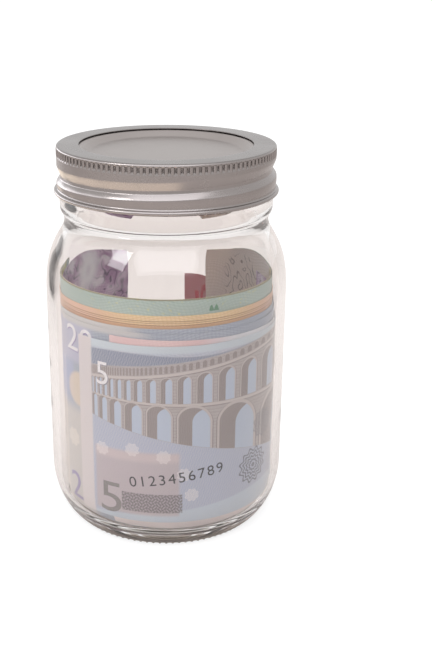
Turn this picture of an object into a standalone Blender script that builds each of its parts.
"""A money jar: a clear screw-top pint jar with a two-piece metal closure and a roll of banknotes in it.

Units are metres, +Z is up, and the origin is the centre of the base, on the surface that the jar
stands on. The front is -Y. Angles run anticlockwise seen from above, and -90 degrees is the front.
"""

import math

import bmesh
import bpy
from mathutils import Vector
from mathutils.geometry import interpolate_bezier

MM = 0.001

# The glass jar
JAR_HEIGHT = 126.55 * MM
BODY_RADIUS = 40.4 * MM
BODY_WALL = 2.6 * MM
NECK_RADIUS = 33.65 * MM
FINISH_WALL = 3.75 * MM
SHOULDER_BELOW_RIM = 46.1 * MM
NECK_BELOW_RIM = 21.7 * MM
SHOULDER_HANDLES = (17.7 * MM, 5.5 * MM)
HEEL_HEIGHT = 17.5 * MM
HEEL_HANDLES = (2.5 * MM, 9.7 * MM)
BORE_HEEL_INSET = 1.3 * MM
BORE_HEEL_DROP = 0.5 * MM
BORE_HEEL_HANDLES = (3.4 * MM, 8.8 * MM)
BORE_SHOULDER_SHIFT = 1.2 * MM
BEARING_INSET = 7.8 * MM
BEARING_WIDTH = 3.0 * MM
PUSH_UP = 2.6 * MM
FLOOR_THICKNESS = 4.6 * MM
FLOOR_DOME = 1.2 * MM
RIM_OUTER_ROUND = 0.9 * MM
RIM_INNER_ROUND = 1.3 * MM
BEAD_BELOW_RIM = 15.35 * MM
BEAD_HALF_WIDTH = 4.4 * MM
BEAD_HEIGHT = 1.35 * MM

# The screw thread: one right-hand start on the glass, and its partner pressed into the band
THREAD_PITCH = 5.08 * MM
THREAD_HALF_WIDTH = 1.15 * MM
THREAD_HEIGHT = 1.35 * MM
THREAD_CLEARANCE = 0.35 * MM
THREAD_OVERLAP = 0.85 * MM
GLASS_THREAD_BELOW_RIM = 3.55 * MM
GLASS_THREAD_SPAN = (-455.0, 50.0)
BAND_THREAD_SPAN = (-300.0, 115.0)
THREAD_TAPER = 35.0
FRONT = -90.0

# The closure: a flat lid with a moulded sealing ring, held down by a screw band
SEAT_GAP = 0.2 * MM
SEAL_THICKNESS = 0.8 * MM
SEAL_WIDTH = 2.0 * MM
LID_SHEET = 0.3 * MM
LID_UNDER_FLANGE = 0.3 * MM
LID_TO_BAND_WALL = 1.1 * MM
LID_LIP_DEPTH = 1.0 * MM
PANEL_TO_MOUTH = 5.3 * MM
PANEL_RECESS = 1.75 * MM
PANEL_DOME = 0.25 * MM
PANEL_SLOPE_WIDTH = 3.2 * MM
BAND_SHEET = 0.3 * MM
BAND_HEIGHT = 15.35 * MM
BAND_FLANGE_WIDTH = 7.05 * MM
BAND_CORNER = 0.7 * MM
BULGE_HEIGHT = 0.3 * MM
BULGE_ABOVE_HEM = 4.6 * MM
BULGE_HALF_WIDTH = 2.4 * MM
KNURL_COUNT = 120
KNURL_BELOW_TOP = (0.75 * MM, 3.2 * MM)
KNURL_RUN_OUT = 0.35 * MM
KNURL_DEPTH = 0.25 * MM
HEM_RADIUS = 0.7 * MM

# The banknotes, rolled inside the jar one layer within the other
NOTE_SHEET = 0.12 * MM
NOTE_LAYER = 0.4 * MM
NOTE_TO_GLASS = 0.45 * MM
NOTE_FLOOR_GAP = 0.3 * MM
NOTE_STEP = 9.0
NOTE_ROW = 0.15 * MM
# Name, length, height, angle of the first edge, lift above the floor and fall from first to last edge
NOTES = (
    ("banknote_5", 120 * MM, 62 * MM, -136.6, 5.9 * MM, 0.0),
    ("banknote_10", 127 * MM, 67 * MM, -118.0, 3.2 * MM, 3.2 * MM),
    ("banknote_20", 133 * MM, 72 * MM, -153.6, 0.0, 0.0),
    ("banknote_20_second", 133 * MM, 72 * MM, -160.0, 1.2 * MM, 0.0),
    ("banknote_50", 140 * MM, 77 * MM, -176.0, 0.3 * MM, 0.0),
    ("banknote_100", 147 * MM, 82 * MM, -192.0, 0.4 * MM, 0.0),
    ("banknote_200", 153 * MM, 82 * MM, -186.0, 0.3 * MM, 0.0),
    ("banknote_500", 160 * MM, 82 * MM, -245.0, 0.0, 0.0),
)

# How finely the round shapes are divided
JAR_SIDES = 48
BAND_SIDES = KNURL_COUNT // 2
THREAD_ROW = 0.75 * MM
CURVE_STEPS = 6
SMOOTH_UNDER = 40.0

# Places that follow from the sizes above
BEARING_RADIUS = BODY_RADIUS - BEARING_INSET
MOUTH_RADIUS = NECK_RADIUS - FINISH_WALL
PANEL_RADIUS = MOUTH_RADIUS - PANEL_TO_MOUTH
BORE_RADIUS = BODY_RADIUS - BODY_WALL
SHOULDER_Z = JAR_HEIGHT - SHOULDER_BELOW_RIM
NECK_Z = JAR_HEIGHT - NECK_BELOW_RIM
BEAD_Z = JAR_HEIGHT - BEAD_BELOW_RIM
GLASS_THREAD_Z = JAR_HEIGHT - GLASS_THREAD_BELOW_RIM
BAND_THREAD_Z = GLASS_THREAD_Z - THREAD_PITCH / 2
THREAD_CREST = NECK_RADIUS + THREAD_HEIGHT
BAND_BORE = THREAD_CREST + THREAD_CLEARANCE
BAND_RIDGE = THREAD_CREST - THREAD_OVERLAP
BAND_OUTSIDE = BAND_BORE + BAND_SHEET
BAND_OPENING_RADIUS = BAND_BORE - BAND_FLANGE_WIDTH
SEAL_BOTTOM = JAR_HEIGHT + SEAT_GAP
LID_UNDERSIDE = SEAL_BOTTOM + SEAL_THICKNESS + SEAT_GAP
LID_TOP = LID_UNDERSIDE + LID_SHEET
BAND_TOP = LID_TOP + LID_UNDER_FLANGE + BAND_SHEET
HEM_Z = BAND_TOP - BAND_HEIGHT + HEM_RADIUS
HEM_CENTRE = BAND_BORE + HEM_RADIUS
LID_RADIUS = BAND_BORE - LID_TO_BAND_WALL


def bump(distance, half_width):
    """A smooth hump: 1 at its middle, 0 at half_width and beyond."""
    if abs(distance) >= half_width:
        return 0.0
    return math.cos(math.pi * distance / (2 * half_width)) ** 2


def thread_weight(angle, z, front_z, span):
    """How much of the thread's height stands at this angle in degrees and this height, from 0 to 1."""
    weight = 0.0
    first, last = span
    turned = angle - 360.0 * math.ceil((angle - first) / 360.0)
    while turned <= last:
        if turned >= first:
            ridge_z = front_z + THREAD_PITCH * (turned - FRONT) / 360.0
            end = min(turned - first, last - turned)
            taper = min(1.0, end / THREAD_TAPER)
            weight = max(weight, taper * bump(z - ridge_z, THREAD_HALF_WIDTH))
        turned += 360.0
    return weight


def curve_points(start, start_handle, end_handle, end):
    """Points of a Bezier curve in the (radius, height) plane, both ends included."""
    ends = [Vector((r, z, 0.0)) for r, z in (start, start_handle, end_handle, end)]
    return [(p.x, p.y) for p in interpolate_bezier(*ends, CURVE_STEPS + 1)]


def arc_points(centre, radius, first, last, steps):
    """Points of an arc in the (radius, height) plane, its angles in degrees, both ends included."""
    points = []
    for i in range(steps + 1):
        angle = math.radians(first + (last - first) * i / steps)
        points.append((centre[0] + radius * math.cos(angle), centre[1] + radius * math.sin(angle)))
    return points


def ring_of(bm, sides, z, radius_at):
    """One ring of vertices at height z; radius_at gives the radius at each angle in degrees."""
    ring = []
    for i in range(sides):
        degrees = 360.0 * i / sides
        radius = radius_at(degrees)
        angle = math.radians(degrees)
        ring.append(bm.verts.new((radius * math.cos(angle), radius * math.sin(angle), z)))
    return ring


def bridge(bm, first, second):
    """Faces between two rings that have as many vertices, or one twice as many as the other."""
    if len(first) == len(second):
        for i, vertex in enumerate(first):
            after = (i + 1) % len(first)
            bm.faces.new((vertex, first[after], second[after], second[i]))
        return
    coarse, fine = (first, second) if len(first) < len(second) else (second, first)
    for i, vertex in enumerate(coarse):
        after = coarse[(i + 1) % len(coarse)]
        low, middle, high = fine[2 * i], fine[2 * i + 1], fine[(2 * i + 2) % len(fine)]
        bm.faces.new((vertex, middle, low))
        bm.faces.new((vertex, after, middle))
        bm.faces.new((after, high, middle))


def cap(bm, ring, z):
    """A fan from the ring to one point on the axis."""
    pole = bm.verts.new((0.0, 0.0, z))
    for i, vertex in enumerate(ring):
        bm.faces.new((vertex, ring[(i + 1) % len(ring)], pole))


def material(name, colour, roughness, metallic=0.0, transmission=0.0):
    made = bpy.data.materials.new(name)
    made.use_nodes = True
    shader = made.node_tree.nodes["Principled BSDF"]
    shader.inputs["Base Color"].default_value = (*colour, 1.0)
    shader.inputs["Roughness"].default_value = roughness
    shader.inputs["Metallic"].default_value = metallic
    shader.inputs["Transmission Weight"].default_value = transmission
    return made


def finish(bm, name, surface):
    """Turn the bmesh into a named object with its material, its faces facing out and shaded smooth."""
    bmesh.ops.recalc_face_normals(bm, faces=bm.faces)
    mesh = bpy.data.meshes.new(name)
    bm.to_mesh(mesh)
    bm.free()
    mesh.shade_smooth()
    mesh.set_sharp_from_angle(angle=math.radians(SMOOTH_UNDER))
    mesh.materials.append(surface)
    made = bpy.data.objects.new(name, mesh)
    bpy.context.scene.collection.objects.link(made)
    return made


def turned_solid(name, surface, sides, profile):
    """A closed turned shape whose profile starts and ends on the axis, or a ring whose profile is a loop."""
    bm = bmesh.new()
    rings = []
    for radius, z in profile:
        if radius > 0.0:
            rings.append(ring_of(bm, sides, z, lambda _, radius=radius: radius))
    for first, second in zip(rings, rings[1:]):
        bridge(bm, first, second)
    if profile[0][0] == 0.0:
        cap(bm, rings[0], profile[0][1])
        cap(bm, rings[-1], profile[-1][1])
    else:
        bridge(bm, rings[-1], rings[0])
    return finish(bm, name, surface)


def bore_outline():
    """The jar's inside as (radius, height), from its floor round the heel, up the wall and into the neck."""
    floor_edge = BEARING_RADIUS - BORE_HEEL_INSET
    heel_top = HEEL_HEIGHT - BORE_HEEL_DROP
    shoulder_foot = SHOULDER_Z - BORE_SHOULDER_SHIFT
    neck = NECK_Z + BORE_SHOULDER_SHIFT
    heel = curve_points(
        (floor_edge, FLOOR_THICKNESS),
        (floor_edge + BORE_HEEL_HANDLES[0], FLOOR_THICKNESS),
        (BORE_RADIUS, heel_top - BORE_HEEL_HANDLES[1]),
        (BORE_RADIUS, heel_top),
    )
    shoulder = curve_points(
        (BORE_RADIUS, shoulder_foot),
        (BORE_RADIUS, shoulder_foot + SHOULDER_HANDLES[0]),
        (MOUTH_RADIUS, neck - SHOULDER_HANDLES[1]),
        (MOUTH_RADIUS, neck),
    )
    return heel + shoulder


def bore_radius_at(z):
    """The jar's inner radius at a height above its floor."""
    outline = bore_outline()
    for (low_r, low_z), (high_r, high_z) in zip(outline, outline[1:]):
        if z <= high_z:
            return low_r + (high_r - low_r) * max(0.0, z - low_z) / (high_z - low_z)
    return MOUTH_RADIUS


def jar_profile():
    """The jar's whole section without its thread, from under the base, out, up, in and down to the floor."""
    bearing_inner = BEARING_RADIUS - BEARING_WIDTH
    points = [(0.0, PUSH_UP), (bearing_inner * 0.55, PUSH_UP * 0.8), (bearing_inner - 1.0 * MM, 0.4 * MM)]
    points.append((bearing_inner, 0.0))
    points += curve_points(
        (BEARING_RADIUS, 0.0),
        (BEARING_RADIUS + HEEL_HANDLES[0], 0.0),
        (BODY_RADIUS, HEEL_HEIGHT - HEEL_HANDLES[1]),
        (BODY_RADIUS, HEEL_HEIGHT),
    )
    points += curve_points(
        (BODY_RADIUS, SHOULDER_Z),
        (BODY_RADIUS, SHOULDER_Z + SHOULDER_HANDLES[0]),
        (NECK_RADIUS, NECK_Z - SHOULDER_HANDLES[1]),
        (NECK_RADIUS, NECK_Z),
    )
    for i in range(-4, 5):
        z = BEAD_Z + BEAD_HALF_WIDTH * i / 4
        points.append((NECK_RADIUS + BEAD_HEIGHT * bump(z - BEAD_Z, BEAD_HALF_WIDTH), z))
    thread_top = JAR_HEIGHT - RIM_OUTER_ROUND
    rows = math.ceil((thread_top - points[-1][1]) / THREAD_ROW)
    foot = points[-1][1]
    points += [(NECK_RADIUS, foot + (thread_top - foot) * i / rows) for i in range(1, rows)]
    corner = (NECK_RADIUS - RIM_OUTER_ROUND, thread_top)
    points += arc_points(corner, RIM_OUTER_ROUND, 0.0, 90.0, 2)
    corner = (MOUTH_RADIUS + RIM_INNER_ROUND, JAR_HEIGHT - RIM_INNER_ROUND)
    points += arc_points(corner, RIM_INNER_ROUND, 90.0, 180.0, 2)
    points += reversed(bore_outline())
    points.append((bearing_inner * 0.55, FLOOR_THICKNESS + FLOOR_DOME * 0.8))
    points.append((0.0, FLOOR_THICKNESS + FLOOR_DOME))
    return points


def make_jar(surface):
    """The glass: its outer wall carries the raised thread, its inner wall is plain."""
    profile = jar_profile()
    bm = bmesh.new()
    rings = []
    for radius, z in profile[1:-1]:
        def radius_at(angle, radius=radius, z=z):
            if radius != NECK_RADIUS:
                return radius
            return radius + THREAD_HEIGHT * thread_weight(angle, z, GLASS_THREAD_Z, GLASS_THREAD_SPAN)

        rings.append(ring_of(bm, JAR_SIDES, z, radius_at))
    for first, second in zip(rings, rings[1:]):
        bridge(bm, first, second)
    cap(bm, rings[0], profile[0][1])
    cap(bm, rings[-1], profile[-1][1])
    return finish(bm, "glass_jar", surface)


def make_lid(surface):
    """The pressed lid: a sunk panel, a slope, a flat ring over the glass rim and a short lip."""
    slope_end = PANEL_RADIUS + PANEL_SLOPE_WIDTH
    panel_z = LID_TOP - PANEL_RECESS
    top = [(0.0, panel_z + PANEL_DOME), (PANEL_RADIUS * 0.6, panel_z + PANEL_DOME * 0.6)]
    top += [(PANEL_RADIUS - 0.5 * MM, panel_z), (PANEL_RADIUS + 0.4 * MM, panel_z + 0.2 * MM)]
    top += [(slope_end - 0.4 * MM, LID_TOP - 0.2 * MM), (slope_end + 0.5 * MM, LID_TOP)]
    under = [(radius, z - LID_SHEET) for radius, z in top]
    edge = arc_points((LID_RADIUS - 0.6 * MM, LID_TOP - 0.6 * MM), 0.6 * MM, 90.0, 0.0, 2)
    edge.append((LID_RADIUS, LID_TOP - LID_LIP_DEPTH))
    edge.append((LID_RADIUS - LID_SHEET, LID_TOP - LID_LIP_DEPTH))
    inner = arc_points((LID_RADIUS - 0.6 * MM, LID_TOP - 0.6 * MM), 0.3 * MM, 0.0, 90.0, 2)
    return turned_solid("lid_disc", surface, JAR_SIDES, top + edge + inner + under[::-1])


def make_seal(surface):
    """The sealing ring moulded under the lid, over the flat of the glass rim."""
    flat_middle = (MOUTH_RADIUS + RIM_INNER_ROUND + NECK_RADIUS - RIM_OUTER_ROUND) / 2
    inner = flat_middle - SEAL_WIDTH / 2
    outer = flat_middle + SEAL_WIDTH / 2
    top = SEAL_BOTTOM + SEAL_THICKNESS
    profile = [(inner, top), (outer, top), (outer, SEAL_BOTTOM), (inner, SEAL_BOTTOM)]
    return turned_solid("sealing_ring", surface, JAR_SIDES, profile)


def band_bore_at(angle, z):
    """The band's inner radius on its wall: a plain bore with a low bulge, and the pressed thread inwards."""
    bulge_z = HEM_Z + BULGE_ABOVE_HEM
    wall = BAND_BORE + BULGE_HEIGHT * bump(z - bulge_z, BULGE_HALF_WIDTH)
    weight = thread_weight(angle, z, BAND_THREAD_Z, BAND_THREAD_SPAN)
    return wall + (BAND_RIDGE - wall) * weight


def band_rings(bm):
    """The band's rings in order: lip, flange, knurled edge, wall, rolled hem, bore and flange underside."""
    def plain(sides, points):
        return [ring_of(bm, sides, z, lambda _, radius=radius: radius) for radius, z in points]

    def walls(heights, sheet):
        return [ring_of(bm, BAND_SIDES, z, lambda a, z=z: band_bore_at(a, z) + sheet) for z in heights]

    def knurled(z):
        step = 360.0 / (2 * KNURL_COUNT)

        def radius_at(angle):
            crest = round(angle / step) % 2 == 0
            return BAND_OUTSIDE + (KNURL_DEPTH if crest else -KNURL_DEPTH / 2)

        return ring_of(bm, 2 * KNURL_COUNT, z, radius_at)

    knurl_top = BAND_TOP - KNURL_BELOW_TOP[0]
    knurl_foot = BAND_TOP - KNURL_BELOW_TOP[1]
    wall_top = knurl_foot - 0.5 * MM
    wall_foot = HEM_Z + HEM_RADIUS + 0.8 * MM
    rows = math.ceil((wall_top - wall_foot) / THREAD_ROW)
    heights = [wall_top + (wall_foot - wall_top) * i / rows for i in range(rows + 1)]
    corner = (BAND_OUTSIDE - BAND_CORNER, BAND_TOP - BAND_CORNER)
    lip = [(BAND_OPENING_RADIUS, BAND_TOP - 0.1 * MM), (BAND_OPENING_RADIUS + 0.2 * MM, BAND_TOP)]

    rings = plain(BAND_SIDES, lip + arc_points(corner, BAND_CORNER, 90.0, 30.0, 2))
    rings += plain(2 * BAND_SIDES, [(BAND_OUTSIDE, knurl_top)])
    rings += [knurled(knurl_top - KNURL_RUN_OUT), knurled(knurl_foot + KNURL_RUN_OUT)]
    rings += plain(2 * BAND_SIDES, [(BAND_OUTSIDE, knurl_foot)])
    rings += walls(heights, BAND_SHEET)
    rings += plain(BAND_SIDES, arc_points((HEM_CENTRE, HEM_Z), HEM_RADIUS, 100.0, -180.0, 7))
    rings += walls(heights[::-1], 0.0)
    rings += plain(BAND_SIDES, [(BAND_BORE, BAND_TOP - 2 * BAND_SHEET)])
    rings += plain(BAND_SIDES, [(BAND_BORE - BAND_SHEET, BAND_TOP - BAND_SHEET)])
    rings += plain(BAND_SIDES, [(BAND_OPENING_RADIUS, BAND_TOP - BAND_SHEET)])
    return rings


def make_band(surface):
    """The screw band: one sheet of tinplate, open in the middle, knurled, threaded and hemmed."""
    bm = bmesh.new()
    rings = band_rings(bm)
    for first, second in zip(rings, rings[1:] + rings[:1]):
        bridge(bm, first, second)
    return finish(bm, "screw_band", surface)


def roll_radius():
    """The radius that the outermost note lies at: the bore's, less where a tall note reaches the shoulder."""
    limits = [BORE_RADIUS]
    for layer, (_, _, height, _, lift, _) in enumerate(NOTES):
        top = FLOOR_THICKNESS + NOTE_FLOOR_GAP + lift + height
        limits.append(bore_radius_at(max(top, HEEL_HEIGHT)) + layer * NOTE_LAYER)
    return min(limits) - NOTE_TO_GLASS


def note_heights(foot, lowest_foot, height):
    """The heights of a note's rows at one place along it: foot, rows round the glass heel, and top."""
    heights = [foot]
    for _, level in bore_outline():
        if lowest_foot + NOTE_ROW < level < HEEL_HEIGHT:
            heights.append(max(level, heights[-1] + NOTE_ROW))
    heights.append(foot + height)
    return heights


def make_note(name, length, height, first_edge, lift, fall, layer, surface):
    """One rolled note: it lies along the glass, tucks in at the heel, and may slope as it runs round."""
    outside = roll_radius() - layer * NOTE_LAYER
    off_glass = NOTE_TO_GLASS + layer * NOTE_LAYER
    span = math.degrees(length / outside)
    steps = math.ceil(span / NOTE_STEP)
    first_foot = FLOOR_THICKNESS + NOTE_FLOOR_GAP + lift
    bm = bmesh.new()
    columns = []
    for i in range(steps + 1):
        angle = math.radians(first_edge + span * i / steps)
        heights = note_heights(first_foot - fall * i / steps, first_foot - fall, height)
        column = []
        for inset, order in ((0.0, heights), (NOTE_SHEET, heights[::-1])):
            for z in order:
                heel_limit = bore_radius_at(min(z, HEEL_HEIGHT)) - off_glass
                radius = min(outside, heel_limit) - inset
                column.append(bm.verts.new((radius * math.cos(angle), radius * math.sin(angle), z)))
        columns.append(column)
    for first, second in zip(columns, columns[1:]):
        bridge(bm, first, second)
    for column in (columns[0], columns[-1]):
        for i in range(len(column) // 2 - 1):
            bm.faces.new((column[i], column[i + 1], column[-i - 2], column[-i - 1]))
    return finish(bm, name, surface)


for leftover in list(bpy.data.objects):
    bpy.data.objects.remove(leftover)

clear_glass = material("clear_glass", (0.93, 0.90, 0.89), 0.02, transmission=1.0)
tinplate = material("satin_tinplate", (0.38, 0.35, 0.33), 0.3, metallic=1.0)
lid_plate = material("lid_tinplate", (0.42, 0.39, 0.37), 0.33, metallic=1.0)
compound = material("sealing_compound", (0.55, 0.2, 0.15), 0.6)
NOTE_COLOURS = (
    (0.50, 0.53, 0.56),
    (0.72, 0.48, 0.47),
    (0.42, 0.47, 0.68),
    (0.46, 0.52, 0.66),
    (0.72, 0.47, 0.28),
    (0.40, 0.60, 0.50),
    (0.62, 0.56, 0.30),
    (0.45, 0.32, 0.45),
)

make_jar(clear_glass)
make_lid(lid_plate)
make_seal(compound)
make_band(tinplate)
for layer, (note, colour) in enumerate(zip(NOTES, NOTE_COLOURS)):
    make_note(*note, layer, material(note[0] + "_paper", colour, 0.75))
